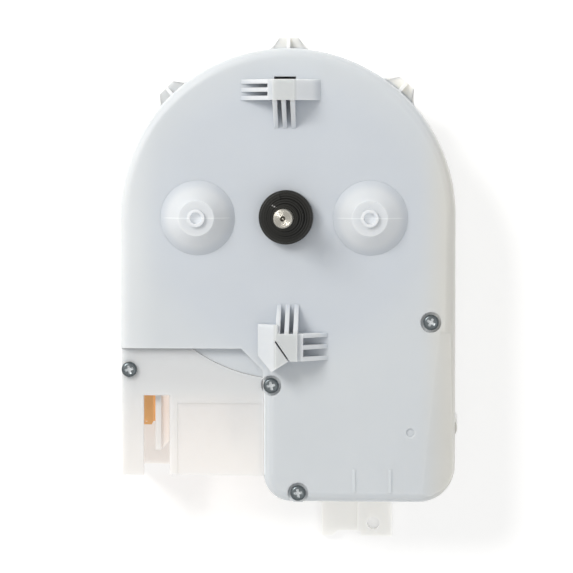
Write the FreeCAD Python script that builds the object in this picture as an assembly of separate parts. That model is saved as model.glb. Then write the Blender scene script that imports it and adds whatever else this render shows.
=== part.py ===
import FreeCAD, Part
import math
import os

# Washing machine timer. The shaft's axis is Z and the origin is on the back face, on that axis.
# +Y runs from the wiring socket and the motor lobe towards the round end. Sizes are in millimetres.

Vec = FreeCAD.Vector
UP = Vec(0, 0, 1)

# Moulded case: arched drum end, motor lobe at the lower right, wiring block at the lower left
wall = 2.0
case_r = 57.3
parting_z = 20.0
face_z = 38.0
shoulder_r = 3.5
shoulder_bands = 3
lobe_left_corner_r = 9.5
lobe_right_corner_r = 12.5
lobe_roof = 2.6
cover_edge_y = -(case_r - 12.4)
bevel_run = 7.5
shelf_r = case_r - 1.8
shelf_z = face_z - 3.2
flank_top_x = case_r - 5.1
flank_top_y = cover_edge_y + 5.9
flank_bottom_x = case_r - 11.6
flank_drop = 2.0
bulge_r = 4.0
bulge_x = case_r + 0.8 - bulge_r

# Locating tabs on the rim
rim_tab_angles = (90.0, 133.8, 48.4)
rim_tab_r = case_r + 3.9
rim_tab_half_outer = 3.2
rim_tab_half_inner = 6.1
rim_tab_thickness = 4.0
rim_tab_rib = 1.2
rim_tab_rib_height = 6.0

# Pilot cones beside the shaft
cone_left_x = -30.3
cone_right_x = 28.5
cone_y = -0.3
cone_base_r = 12.75
cone_top_r = 6.0
cone_height = 6.5
cone_ring_r = 3.0
cone_ring_height = 1.2
cone_hole_r = 2.0
cone_hole_depth = 2.4
cone_hole_floor = 1.2

# Hook posts above and below the shaft, each braced by thin gussets
hook_width = 7.4
hook_depth = 7.0
hook_height = 9.5
hook_gusset = 1.45
hook_gusset_run = 9.6
hook_ramp_run = 8.4
hook_slot = 1.0
hook_collar = 1.75
hook_x = 0.5
hook_y = case_r - 14.2
bottom_hook_depth = 9.3
bottom_hook_run = 8.2
bottom_hook_near_y = -(case_r - 18.05)
bottom_slot = 0.55
wing_left_x = hook_x - 10.1
wing_near_y = bottom_hook_near_y + 2.95
wing_low_height = 2.5

# Wiring block with its keyed socket, open at the bottom edge
block_left_x = -(case_r - 0.45)
block_bottom_y = cover_edge_y - 43.8
block_top_z = face_z - 2.5
block_gap = 0.1
back_wall_end_y = block_bottom_y + 0.3
socket_end_y = cover_edge_y - 16.3
carrier_thickness = 4.0
key_band = 2.7
panel_recess = 0.25
partition_thickness = 2.0
partition_end_y = block_bottom_y + 8.5
partition_clearance = 1.6

# Terminal tabs and contact blades
tab_width = 4.8
tab_thickness = 0.8
tab_length = 11.1
tab_chamfer = 1.2
tab_hole_r = 0.5
tab_hole_inset = 1.4
first_tab_x = block_left_x + 7.45
tab_pitch = 7.0
last_tab_margin = 6.4
partition_columns = (0.7, 4.5)
switch_columns = (2, 3, 4, 5)
upper_row_z = 24.0
lower_row_z = 12.0
slot_fit = 0.05
blade_width = 3.2
blade_thickness = 0.4
blade_drop = 2.1
contact_drop = 4.3
blade_bend_y = cover_edge_y - 8.5
nose_y = cover_edge_y + 18.5
nose_length = 1.6
nose_width = 1.4
fixed_blade_end_y = nose_y - 5.0
contact_r = 1.1
contact_height = 0.8
line_blade_z = 4.8
line_contact_z = 2.6
line_strip_width = 2.8
line_blade_fall_y = cover_edge_y - 6.5
line_contact_fall_y = cover_edge_y - 10.0

# Program disc: ring gear on the rim, concentric cam tracks on the rear side, neck through the cover
rim_clearance = 1.6
disc_module = 1.0
disc_gear_z = face_z - 14.0
disc_gear_width = 4.0
disc_web_z = disc_gear_z + 1.0
disc_web = 2.0
disc_ribs = 4
disc_rib = 1.2
track_width = 2.4
track_depth = 2.0
lobe_height = 1.5
follower_gap = 0.1
journal_r = 9.0
journal_z = disc_web_z - 6.0
neck_r = 6.0
neck_top_z = face_z + 4.0
running_fit = 0.06
bearing_wall = 2.4
bearing_gap = 0.2

# Dial hub and shaft. The knob's seat is a little thicker than the rest of the shaft.
hub_base_r = 9.2
hub_base_height = 4.4
hub_mid_r = 6.1
hub_mid_height = 3.6
hub_top_r = 4.5
hub_top_height = 3.4
hub_gap = 0.5
hub_key_width = 0.8
hub_key_height = 1.2
hub_key_angle = 109.0
hub_chamfer = 0.8
hub_fit = 0.02
shaft_r = 2.9
knob_seat_r = 3.175
knob_seat_gap = 0.3
shaft_bottom_z = 6.0
shaft_top_z = face_z + 22.0
shaft_chamfer = 0.6
shaft_dimple_r = 1.1
shaft_flat = 0.8
shaft_flat_top_z = face_z + 2.0
shaft_travel = 6.0
shaft_fit = 0.05
clip_thickness = 0.8
clip_r = 5.4
clip_groove = 0.6
clip_mouth = 3.0
clip_z = journal_z - shaft_travel - 0.2 - clip_thickness
shaft_flat_bottom_z = clip_z + clip_thickness + 0.1

# Gear train from the motor to the disc
pinion_teeth = 12
idler_teeth = 48
fine_module = 0.8
idler_angle = -62.0
idler_gear_z = disc_gear_z - 6.6
idler_gear_width = 3.4
idler_pinion_z = disc_gear_z - 1.6
idler_pinion_width = 6.4
idler_hub_r = 3.4
idler_pin_r = 1.5
idler_pin_depth = 8.0
idler_pin_seat = 3.0
idler_boss_r = 3.4
motor_pinion_width = 4.2
spindle_r = 1.0
pressure_angle = math.radians(20)
tooth_top = 0.8
tooth_bottom = 1.15
tooth_slack = 0.2
tooth_neck = 0.85

# Motor
motor_r = 20.0
motor_height = 12.0
motor_step_r = 14.0
motor_step = 0.8
motor_wall_gap = 1.16
motor_plate = 1.0
motor_ear_gap = 0.3
motor_ear_r = 3.0
motor_ear_angle = -20.0
motor_screw_r = 1.3
motor_screw_head_r = 2.4
motor_screw_head = 1.3
motor_screw_length = 7.0
motor_screw_depth = 8.0
motor_tab_gap = 4.0
motor_tab_shift = -6.5
motor_tab_width = 2.8
motor_tab_reach = 4.0


def polar(r, degrees):
    return r * math.cos(math.radians(degrees)), r * math.sin(math.radians(degrees))


# Places worked out from the sizes above
column_x = [first_tab_x + tab_pitch * column for column in range(6)]
lobe_left_x = column_x[-1] + last_tab_margin
line_strip_x = first_tab_x + (tab_width - line_strip_width) / 2
bevel_start_x = lobe_left_x - bevel_run
key_left_x = first_tab_x + 0.2
key_right_x = first_tab_x + 9.15
carrier_back_y = socket_end_y + carrier_thickness
tab_end_y = socket_end_y - tab_length
disc_teeth = int(2 * (shelf_r - wall - rim_clearance) / disc_module - 2 * tooth_top)
disc_pitch_r = disc_teeth * disc_module / 2
track_bottom_z = disc_web_z - track_depth
lobe_bottom_z = track_bottom_z - lobe_height
blade_level_z = lobe_bottom_z - blade_drop
contact_level_z = lobe_bottom_z - contact_drop
bearing_r = journal_r + running_fit
hub_bottom_z = face_z + hub_gap
hub_top_z = hub_bottom_z + hub_base_height + hub_mid_height + hub_top_height
idler_x, idler_y = polar(disc_pitch_r + pinion_teeth * disc_module / 2, idler_angle)
motor_distance = (idler_teeth + pinion_teeth) * fine_module / 2
motor_x = (lobe_left_x + case_r) / 2
motor_y = idler_y - math.sqrt(motor_distance ** 2 - (motor_x - idler_x) ** 2)
motor_angle = math.degrees(math.atan2(motor_y - idler_y, motor_x - idler_x))
motor_top_z = wall + motor_height
motor_ear_reach = motor_r + motor_ear_r + motor_ear_gap
lobe_bottom_y = motor_y - motor_r - motor_wall_gap - wall
bulge_y = lobe_bottom_y + 25.5

# Small forms on the lobe
gate_x = case_r - 15.1
gate_y = lobe_bottom_y + 24.1
gate_r = 1.45
gate_depth = 0.4
low_rib = 1.0
low_rib_height = 0.25
low_rib_reach = 11.4
rib_left_inset = 12.7

# Case screws: self-tapping, pan head
screw_places = {
    "corner": (block_left_x + 2.85, cover_edge_y - 7.4),
    "bevel": (lobe_left_x + 2.7, cover_edge_y - 12.6),
    "side": (case_r - 8.2, cover_edge_y + 9.2),
    "lobe": (lobe_left_x + 11.9, lobe_bottom_y + 3.2),
}
screw_head_r = 2.7
screw_head_height = 1.9
screw_shank_r = 1.45
screw_length = 22.0
screw_fit = 0.02
screw_boss_r = 3.5
screw_sink = 1.0

# Fixing foot of the rear half
foot_left_x = lobe_left_x + 18.3
foot_right_x = foot_left_x + 25.0
foot_bottom_y = lobe_bottom_y - 16.1
foot_thickness = 4.0
foot_step_x = foot_left_x + 12.7
foot_step = 1.0
foot_hole_x = foot_right_x - 6.7
foot_hole_y = foot_bottom_y + 4.6
foot_hole_r = 2.15
foot_notch_left_x = foot_left_x + 5.7
foot_notch_right_x = foot_step_x + 1.1
foot_notch_depth = 1.7


def cylinder(x, y, z0, z1, r):
    return Part.makeCylinder(r, z1 - z0, Vec(x, y, z0))


def box(x0, x1, y0, y1, z0, z1):
    return Part.makeBox(x1 - x0, y1 - y0, z1 - z0, Vec(x0, y0, z0))


def prism(points, z0, z1):
    wire = Part.makePolygon([Vec(x, y, z0) for x, y in points + points[:1]])
    return Part.Face(wire).extrude(Vec(0, 0, z1 - z0))


def side_prism(points, x0, x1):
    """Outline in Y and Z, thick along X."""
    wire = Part.makePolygon([Vec(x0, y, z) for y, z in points + points[:1]])
    return Part.Face(wire).extrude(Vec(x1 - x0, 0, 0))


def revolved(points):
    wire = Part.makePolygon([Vec(r, 0, z) for r, z in points + points[:1]])
    return Part.Face(wire).revolve(Vec(0, 0, 0), UP, 360)


def turned(shape, degrees, x=0.0, y=0.0):
    copy = shape.copy()
    copy.rotate(Vec(x, y, 0), UP, degrees)
    return copy


def moved(shape, x, y, z=0.0):
    copy = shape.copy()
    copy.translate(Vec(x, y, z))
    return copy


def joined(first, *others):
    return first.fuse(list(others)).removeSplitter()


def involute(angle):
    return math.tan(angle) - angle


def gear(teeth, module, z0, width, phase, flank_steps):
    """Spur gear whose tooth number nought points along phase, in degrees."""
    pitch_r = teeth * module / 2
    base_r = pitch_r * math.cos(pressure_angle)
    tip_r = pitch_r + tooth_top * module
    root_r = pitch_r - tooth_bottom * module
    half = (math.pi * module / 2 - tooth_slack * module) / 2 / pitch_r + involute(pressure_angle)
    start_r = max(base_r, root_r)
    flank = []
    if root_r < base_r:
        flank.append((root_r, half * tooth_neck))
    for step in range(flank_steps + 1):
        r = start_r + (tip_r - start_r) * step / flank_steps
        flank.append((r, half - involute(math.acos(min(1.0, base_r / r)))))
    points = []
    for tooth in range(teeth):
        middle = math.radians(phase) + 2 * math.pi * tooth / teeth
        for r, angle in flank:
            points.append((r * math.cos(middle - angle), r * math.sin(middle - angle)))
        for r, angle in reversed(flank):
            points.append((r * math.cos(middle + angle), r * math.sin(middle + angle)))
    return prism(points, z0, z0 + width)


def arch_outline(inset, bottom_y, z):
    r = case_r - inset
    arc = Part.Arc(Vec(r, 0, z), Vec(0, r, z), Vec(-r, 0, z)).toShape()
    left = Part.makeLine(Vec(-r, 0, z), Vec(-r, bottom_y, z))
    bottom = Part.makeLine(Vec(-r, bottom_y, z), Vec(r, bottom_y, z))
    right = Part.makeLine(Vec(r, bottom_y, z), Vec(r, 0, z))
    return Part.Wire([arc, left, bottom, right])


def lobe_outline(inset, top_y, z):
    x0 = lobe_left_x + inset
    x1 = case_r - inset
    y0 = lobe_bottom_y + inset
    ra = lobe_left_corner_r - inset
    rb = lobe_right_corner_r - inset
    diagonal = math.sqrt(0.5)
    corner_a = Vec(x0 + ra * (1 - diagonal), y0 + ra * (1 - diagonal), z)
    corner_b = Vec(x1 - rb * (1 - diagonal), y0 + rb * (1 - diagonal), z)
    edges = [
        Part.makeLine(Vec(x0, top_y, z), Vec(x0, y0 + ra, z)),
        Part.Arc(Vec(x0, y0 + ra, z), corner_a, Vec(x0 + ra, y0, z)).toShape(),
        Part.makeLine(Vec(x0 + ra, y0, z), Vec(x1 - rb, y0, z)),
        Part.Arc(Vec(x1 - rb, y0, z), corner_b, Vec(x1, y0 + rb, z)).toShape(),
        Part.makeLine(Vec(x1, y0 + rb, z), Vec(x1, top_y, z)),
        Part.makeLine(Vec(x1, top_y, z), Vec(x0, top_y, z)),
    ]
    return Part.Wire(edges)


def rounded_body(outline_at, z0, z1, round_r):
    """Straight walls from z0, with a shoulder of plain bands up to z1. outline_at gives a wire for an inset."""
    wires = [outline_at(0, z0)]
    bands = shoulder_bands if round_r > 0 else 0
    for band in range(bands):
        angle = math.radians(90 * band / bands)
        wires.append(outline_at(round_r * (1 - math.cos(angle)), z1 - round_r * (1 - math.sin(angle))))
    wires.append(outline_at(round_r, z1))
    return Part.makeLoft(wires, True, True)


def case_form(inset, z0, z1, round_r, lobe_top_z):
    """The drum end and the motor lobe, without the corner that the wiring block fills."""
    edge_y = cover_edge_y + inset
    side_x = lobe_left_x + inset
    slope = inset * math.tan(math.radians(22.5))
    bevel_x = bevel_start_x + slope
    foot_y = cover_edge_y - bevel_run + slope
    deep_y = foot_y - shoulder_r
    arch = rounded_body(lambda more, z: arch_outline(inset + more, deep_y, z), z0, z1, round_r)
    corner = prism([(-2 * case_r, edge_y), (bevel_x, edge_y), (side_x, foot_y), (side_x, 2 * deep_y),
                    (-2 * case_r, 2 * deep_y)], z0 - 1, z1 + 1)
    lobe = rounded_body(lambda more, z: lobe_outline(inset + more, cover_edge_y, z), z0, lobe_top_z, round_r)
    return joined(arch.cut(corner), lobe)


def pan_screw(x, y, seat_z, head_r, head_height, shank_r, length):
    edge_z = seat_z + head_height / 2
    head = joined(cylinder(x, y, seat_z, edge_z, head_r),
                  Part.makeCone(head_r, head_r * 0.7, head_height / 2, Vec(x, y, edge_z)))
    return joined(head, cylinder(x, y, seat_z - length, seat_z, shank_r))


def ramp(x_low, x_high, y0, y1, base_z, low_z, high_z):
    """Block whose top climbs from low_z at x_low to high_z at x_high."""
    wire = Part.makePolygon([Vec(x_low, y0, base_z), Vec(x_high, y0, base_z), Vec(x_high, y0, high_z),
                             Vec(x_low, y0, low_z), Vec(x_low, y0, base_z)])
    return Part.Face(wire).extrude(Vec(0, y1 - y0, 0))


def hook_post(depth, side_run):
    """Square post on the face, a collar and three gussets to its left and three gussets below it."""
    half_x = hook_width / 2
    collar_x = -half_x - hook_collar
    top_z = face_z + hook_height
    collar_z = top_z - hook_collar
    post = box(-half_x, half_x, -depth, 0, face_z, top_z)
    pieces = [box(collar_x, -half_x, -depth, 0, face_z, collar_z)]
    for index in range(3):
        y = -hook_gusset - index * (depth - hook_gusset) / 2
        wire = Part.makePolygon([Vec(collar_x - side_run, y, face_z), Vec(collar_x, y, face_z),
                                 Vec(collar_x, y, collar_z), Vec(collar_x - side_run, y, face_z)])
        pieces.append(Part.Face(wire).extrude(Vec(0, hook_gusset, 0)))
        x = -half_x + index * (hook_width - hook_gusset) / 2
        pieces.append(side_prism([(-depth - hook_gusset_run, face_z), (-depth, face_z), (-depth, top_z)],
                                 x, x + hook_gusset))
    return joined(post, *pieces)


def build_top_hook():
    """Hook post with a ramp falling to the right; the post's upper side is at hook_y."""
    half_x = hook_width / 2
    fall = ramp(half_x + hook_ramp_run, half_x, -hook_depth, 0, face_z, face_z, face_z + hook_height)
    return moved(joined(hook_post(hook_depth, hook_gusset_run), fall), -hook_x, hook_y)


def build_bottom_hook():
    """The same post turned round, its lower left corner cut off by a slanting slot beside a low wing."""
    far_y = bottom_hook_near_y - bottom_hook_depth
    left_x = hook_x - hook_width / 2
    top_z = face_z + hook_height
    post = moved(turned(hook_post(bottom_hook_depth, bottom_hook_run), 180), hook_x, far_y)
    slot_top = Vec(left_x, bottom_hook_near_y - bottom_hook_depth / 3, face_z)
    slot_low = Vec(hook_x + bottom_slot, far_y, face_z)
    along = (slot_low - slot_top).normalize()
    across = Vec(-along.y, along.x, 0) * bottom_slot
    start = slot_top - along * bottom_slot
    end = slot_low + along * bottom_slot
    corner = prism([(start.x, start.y), (end.x, end.y), (left_x - 1, end.y), (left_x - 1, start.y)], face_z, top_z)
    wing = joined(ramp(wing_left_x, left_x, far_y - hook_width / 2, wing_near_y, face_z, face_z + wing_low_height,
                       top_z),
                  box(left_x, slot_low.x, far_y - hook_width / 2, wing_near_y, face_z, top_z))
    outline = prism([(wing_left_x, wing_near_y), (slot_top.x + hook_gusset / 2, wing_near_y),
                     (slot_top.x + hook_gusset / 2, slot_top.y + bottom_slot), (slot_low.x, slot_low.y),
                     (left_x - hook_gusset, far_y - hook_width / 2), (wing_left_x, far_y + hook_gusset)],
                    face_z, top_z)
    slot = prism([(start.x, start.y), (end.x, end.y), (end.x + across.x, end.y + across.y),
                  (start.x + across.x, start.y + across.y)], face_z, top_z + 1)
    return joined(post.cut(corner), wing.common(outline)).cut(slot)


def build_front_cover():
    roof = face_z - wall
    solid_form = case_form(0, 0, face_z, 0, face_z)
    outer = case_form(0, parting_z, face_z, shoulder_r, face_z)
    inner = case_form(wall, parting_z - 1, roof, 0, face_z - lobe_roof)
    shell = outer.cut(inner)

    # Circular shelf of the drum housing, below the straight edge
    below = box(-2 * shelf_r, lobe_left_x, -2 * shelf_r, cover_edge_y, parting_z, shelf_z)
    keep = prism([(-2 * case_r, cover_edge_y), (bevel_start_x, cover_edge_y),
                  (lobe_left_x, cover_edge_y - bevel_run), (lobe_left_x, -2 * shelf_r),
                  (-2 * case_r, -2 * shelf_r)], parting_z, shelf_z)
    shelf = cylinder(0, 0, parting_z, shelf_z, shelf_r).common(below).common(keep)
    shell = joined(shell, shelf)
    shell = shell.cut(cylinder(0, 0, parting_z - 1, shelf_z - wall, shelf_r - wall))

    # Way in for the contact blades
    last = column_x[-1] + tab_width
    way = box(-case_r + wall, last, -shelf_r - 1, cover_edge_y + wall + 0.5, parting_z - 1, disc_gear_z + 1)
    shell = shell.cut(way)

    # Flank that slopes down to the right-hand wall
    length = math.hypot(flank_top_x - flank_bottom_x, flank_top_y - lobe_bottom_y)
    reach = 2 * (case_r - flank_bottom_x)
    drop = flank_drop * reach / (case_r - flank_bottom_x)
    wire = Part.makePolygon([Vec(0, 0, face_z), Vec(reach, 0, face_z - drop), Vec(reach, 0, face_z + 1),
                             Vec(0, 0, face_z + 1), Vec(0, 0, face_z)])
    wedge = Part.Face(wire).extrude(Vec(0, -length - shoulder_r, 0))
    lean = math.degrees(math.atan2(flank_top_x - flank_bottom_x, flank_top_y - lobe_bottom_y))
    shell = shell.cut(moved(turned(wedge, -lean), flank_top_x, flank_top_y))

    # Screw bosses, the bulge of the locating pin and the idler's upper bearing
    for name in ("bevel", "side", "lobe"):
        x, y = screw_places[name]
        seat = face_z - screw_sink
        shell = joined(shell, cylinder(x, y, parting_z, seat, screw_boss_r).common(solid_form))
        shell = shell.cut(cylinder(x, y, seat, face_z + 1, screw_boss_r))
        shell = shell.cut(cylinder(x, y, parting_z, face_z + 1, screw_shank_r + screw_fit))
    bulge = cylinder(bulge_x, bulge_y, parting_z, roof - flank_drop, bulge_r)
    shell = joined(shell, bulge)
    boss_top = roof
    boss_low = idler_pinion_z + idler_pinion_width + bearing_gap
    shell = joined(shell, cylinder(idler_x, idler_y, boss_low, boss_top, idler_boss_r))
    shell = shell.cut(cylinder(idler_x, idler_y, boss_low - 1, boss_low + idler_pin_seat, idler_pin_r))

    # Pilot cones, hollow from behind, each with a blind hole for a screw
    for x in (cone_left_x, cone_right_x):
        hollow_r = cone_base_r - wall
        ring_top_z = face_z + cone_height + cone_ring_height
        hole_low_z = ring_top_z - cone_hole_depth
        cone = Part.makeCone(cone_base_r, cone_top_r, cone_height, Vec(x, cone_y, face_z))
        hollow = Part.makeCone(hollow_r, cone_top_r - wall, cone_height, Vec(x, cone_y, roof))
        ring = cylinder(x, cone_y, hole_low_z - cone_hole_floor, ring_top_z, cone_ring_r)
        shell = joined(joined(shell, cone).cut(hollow), ring)
        shell = shell.cut(cylinder(x, cone_y, hole_low_z, ring_top_z + 1, cone_hole_r))

    # Hook posts, with the slot above the upper one
    shell = joined(shell, build_top_hook(), build_bottom_hook())
    slot_left_x = -hook_x - hook_width / 2
    shell = shell.cut(box(slot_left_x, slot_left_x + hook_width, hook_y, hook_y + hook_slot, roof - 1, face_z + 1))

    # Gate mark, and the two low ribs above the foot
    shell = shell.cut(cylinder(gate_x, gate_y, face_z - gate_depth, face_z + 1, gate_r))
    for x in (foot_left_x + rib_left_inset, foot_right_x):
        shell = joined(shell, box(x - low_rib / 2, x + low_rib / 2, lobe_bottom_y + shoulder_r,
                                  lobe_bottom_y + low_rib_reach, roof, face_z + low_rib_height))

    # Hole for the neck of the program disc
    shell = shell.cut(cylinder(0, 0, roof - 1, face_z + 1, neck_r + running_fit))

    # Rim tabs, each with a rib on its upper side
    for degrees in rim_tab_angles:
        root = case_r - wall / 2
        tab = prism([(root, -rim_tab_half_inner), (rim_tab_r, -rim_tab_half_outer),
                     (rim_tab_r, rim_tab_half_outer), (root, rim_tab_half_inner)],
                    parting_z, parting_z + rim_tab_thickness)
        rib_z = parting_z + rim_tab_thickness
        wire = Part.makePolygon([Vec(root, -rim_tab_rib / 2, rib_z), Vec(rim_tab_r, -rim_tab_rib / 2, rib_z),
                                 Vec(root, -rim_tab_rib / 2, rib_z + rim_tab_rib_height),
                                 Vec(root, -rim_tab_rib / 2, rib_z)])
        rib = Part.Face(wire).extrude(Vec(0, rim_tab_rib, 0))
        shell = joined(shell, turned(tab, degrees), turned(rib, degrees))
    return shell


def build_rear_housing():
    outer = case_form(0, 0, parting_z, 0, parting_z)
    inner = case_form(wall, wall, parting_z + 1, 0, parting_z + 1)
    shell = outer.cut(inner)

    # The floor runs on under the wiring block
    floor = box(block_left_x, lobe_left_x + wall, back_wall_end_y, cover_edge_y + wall, 0, wall)
    shell = joined(shell, floor)
    way = box(-case_r + wall, column_x[-1] + tab_width, cover_edge_y - 1, cover_edge_y + wall + 0.5,
              wall, parting_z + 1)
    shell = shell.cut(way)
    # The wall above the bevel stays clear of the disc's rim and of the last blade
    shell = shell.cut(cylinder(0, 0, wall, parting_z + 1, shelf_r - wall))

    # Bearing ring for the program disc
    ring_r = bearing_r + bearing_wall
    shell = joined(shell, cylinder(0, 0, 0, disc_web_z - bearing_gap, ring_r))
    shell = shell.cut(cylinder(0, 0, wall, disc_web_z, bearing_r))
    heading = math.degrees(math.atan2(cover_edge_y - carrier_thickness, line_strip_x))
    half = line_strip_width / 2 + 1
    shell = shell.cut(turned(box(0, 2 * ring_r, -half, half, wall, line_blade_z + 2), heading))

    # Screw bosses, pin bulge, motor posts and idler boss
    limits = case_form(0, 0, face_z, 0, face_z).fuse(prism(block_outline(), 0, face_z))
    for x, y in screw_places.values():
        shell = joined(shell, cylinder(x, y, 0, parting_z, screw_boss_r).common(limits))
        shell = shell.cut(cylinder(x, y, parting_z - screw_length, parting_z + 1, screw_shank_r + screw_fit))
    shell = joined(shell, cylinder(bulge_x, bulge_y, 0, parting_z, bulge_r))
    shell = joined(shell, cylinder(idler_x, idler_y, 0, idler_gear_z - bearing_gap, idler_boss_r))
    shell = shell.cut(cylinder(idler_x, idler_y, idler_pin_depth, parting_z, idler_pin_r))
    for x, y in motor_ears():
        shell = joined(shell, cylinder(x, y, 0, motor_top_z, motor_ear_r))
        shell = shell.cut(cylinder(x, y, motor_top_z - motor_screw_depth, motor_top_z + 1, motor_screw_r + screw_fit))

    # Fixing foot
    low_y = lobe_bottom_y + wall / 2
    notch_y = foot_bottom_y + foot_notch_depth
    foot = prism([(foot_left_x, low_y), (foot_left_x, foot_bottom_y),
                  (foot_notch_left_x - foot_notch_depth, foot_bottom_y), (foot_notch_left_x, notch_y),
                  (foot_notch_right_x, notch_y), (foot_notch_right_x, foot_bottom_y),
                  (foot_right_x, foot_bottom_y), (foot_right_x, low_y)], 0, foot_thickness)
    foot = foot.cut(box(foot_left_x - 1, foot_step_x, foot_bottom_y - 1, lobe_bottom_y,
                        foot_thickness - foot_step, foot_thickness + 1))
    foot = foot.cut(cylinder(foot_hole_x, foot_hole_y, -1, foot_thickness + 1, foot_hole_r))
    return joined(shell, foot)


def motor_ears():
    places = [polar(side * motor_ear_reach, motor_ear_angle) for side in (-1, 1)]
    return [(motor_x + x, motor_y + y) for x, y in places]


def block_outline():
    top_y = cover_edge_y - block_gap
    right_x = lobe_left_x - block_gap
    return [(block_left_x, top_y), (block_left_x, block_bottom_y), (right_x, block_bottom_y), (right_x, top_y)]


def build_switch_block():
    low = wall
    right_x = lobe_left_x - block_gap
    body = prism(block_outline(), low, block_top_z)
    body = body.cut(cylinder(0, 0, low - 1, block_top_z + 1, shelf_r + block_gap))
    x, y = screw_places["bevel"]
    body = body.cut(cylinder(x, y, low - 1, block_top_z + 1, screw_boss_r + block_gap))

    # Socket behind the mouth, and the space for the blades above the carrier wall
    left_in = block_left_x + wall
    right_in = right_x - wall
    socket = box(left_in, right_in, block_bottom_y - 1, socket_end_y, low + wall, block_top_z - wall)
    bay = box(left_in, right_in, carrier_back_y, cover_edge_y + 1, low - 1, block_top_z - wall)
    body = body.cut(socket)
    body = body.cut(bay)
    body = body.cut(box(left_in, right_in, block_bottom_y - 1, back_wall_end_y, low - 1, low + wall + 1))

    # Key slot, raised band beside it and recessed panel
    body = body.cut(box(key_left_x, key_right_x, block_bottom_y - 1, socket_end_y, block_top_z - wall - 1,
                        block_top_z + 1))
    body = body.cut(box(key_right_x + key_band, right_x + 1, block_bottom_y - 1, socket_end_y - key_band,
                        block_top_z - panel_recess, block_top_z + 1))

    # Partitions between the socket's chambers
    for column in partition_columns:
        x = first_tab_x + tab_pitch * column
        body = joined(body, box(x - partition_thickness / 2, x + partition_thickness / 2, partition_end_y,
                                socket_end_y, low + wall, block_top_z - wall - partition_clearance))

    # Column for the corner screw, over the rear housing's boss
    x, y = screw_places["corner"]
    column = cylinder(x, y, parting_z, block_top_z, screw_boss_r)
    column = column.common(box(block_left_x, 0, -2 * case_r, cover_edge_y - block_gap, low, block_top_z))
    body = joined(body, column)
    body = body.cut(cylinder(x, y, low - 1, parting_z, screw_boss_r + block_gap))
    body = body.cut(cylinder(x, y, low, block_top_z + 1, screw_shank_r + screw_fit))

    # Slots for the terminals in the carrier wall
    for x in terminal_columns():
        for z in (upper_row_z, lower_row_z):
            half = tab_width / 2 + slot_fit
            body = body.cut(box(x - half, x + half, socket_end_y - 1, carrier_back_y + 1,
                                z - tab_thickness / 2 - slot_fit, z + tab_thickness / 2 + slot_fit))
    return body


def terminal_columns():
    return [column_x[0]] + [column_x[column] for column in switch_columns]


def tab_plate(x, z):
    """Flat terminal tab with chamfered end corners and a locking hole."""
    half = tab_width / 2
    plate = prism([(x - half, carrier_back_y), (x - half, tab_end_y + tab_chamfer),
                   (x - half + tab_chamfer / 2, tab_end_y), (x + half - tab_chamfer / 2, tab_end_y),
                   (x + half, tab_end_y + tab_chamfer), (x + half, carrier_back_y)],
                  z - tab_thickness / 2, z + tab_thickness / 2)
    return plate.cut(cylinder(x, tab_end_y + tab_hole_inset, z - 1, z + 1, tab_hole_r))


def blade_strip(x, row_z, level_z, end_y):
    """Spring strip that leaves the terminal, bends to its own level and runs under the disc."""
    t = blade_thickness
    start = carrier_back_y - 0.5
    side = [(start, row_z - t / 2), (start, row_z + t / 2), (carrier_back_y, row_z + t / 2),
            (blade_bend_y, level_z + t / 2), (end_y, level_z + t / 2), (end_y, level_z - t / 2),
            (blade_bend_y, level_z - t / 2), (carrier_back_y, row_z - t / 2)]
    return side_prism(side, x - blade_width / 2, x + blade_width / 2)


def build_moving_blade(x):
    end_y = nose_y + nose_length
    strip = blade_strip(x, upper_row_z, blade_level_z, end_y)
    top = lobe_bottom_z - follower_gap
    base = blade_level_z
    nose = side_prism([(nose_y - nose_length, base), (nose_y - nose_length / 4, top),
                       (nose_y + nose_length / 4, top), (nose_y + nose_length, base)],
                      x - nose_width / 2, x + nose_width / 2)
    button_z = blade_level_z - blade_thickness / 2
    button = cylinder(x, fixed_blade_end_y - 2 * contact_r, button_z - contact_height / 2, button_z + 0.1, contact_r)
    return joined(tab_plate(x, upper_row_z), strip, nose, button)


def build_fixed_blade(x):
    strip = blade_strip(x, lower_row_z, contact_level_z, fixed_blade_end_y)
    button_z = contact_level_z + blade_thickness / 2
    button = cylinder(x, fixed_blade_end_y - 2 * contact_r, button_z - 0.1, button_z + contact_height, contact_r)
    return joined(tab_plate(x, lower_row_z), strip, button)


def build_line_strip(row_z, level_z, fall_y, reach, button_up):
    """Terminal strip that drops to the floor and runs to the line switch under the shaft."""
    x = line_strip_x
    half = line_strip_width / 2
    t = blade_thickness
    turn_y = cover_edge_y - carrier_thickness
    heading = math.degrees(math.atan2(turn_y, x))
    start_r = math.hypot(x, turn_y)
    flat = box(x - half, x + half, carrier_back_y - 0.5, fall_y, row_z - t / 2, row_z + t / 2)
    fall = box(x - half, x + half, fall_y - t, fall_y, level_z - t / 2, row_z + t / 2)
    turn = cylinder(x, turn_y, level_z - t / 2, level_z + t / 2, half)
    step = box(x - half, x + half, fall_y - t, turn_y, level_z - t / 2, level_z + t / 2)
    run = turned(box(reach, start_r, -half, half, level_z - t / 2, level_z + t / 2), heading)
    pieces = [flat, fall, turn, step, run]
    bx, by = polar(bearing_r - 2, heading)
    if button_up:
        pieces.append(cylinder(bx, by, level_z, level_z + t / 2 + contact_height, contact_r))
    else:
        pieces.append(cylinder(bx, by, level_z - t / 2 - contact_height / 2, level_z, contact_r))
    return joined(tab_plate(first_tab_x, row_z), *pieces)


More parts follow.
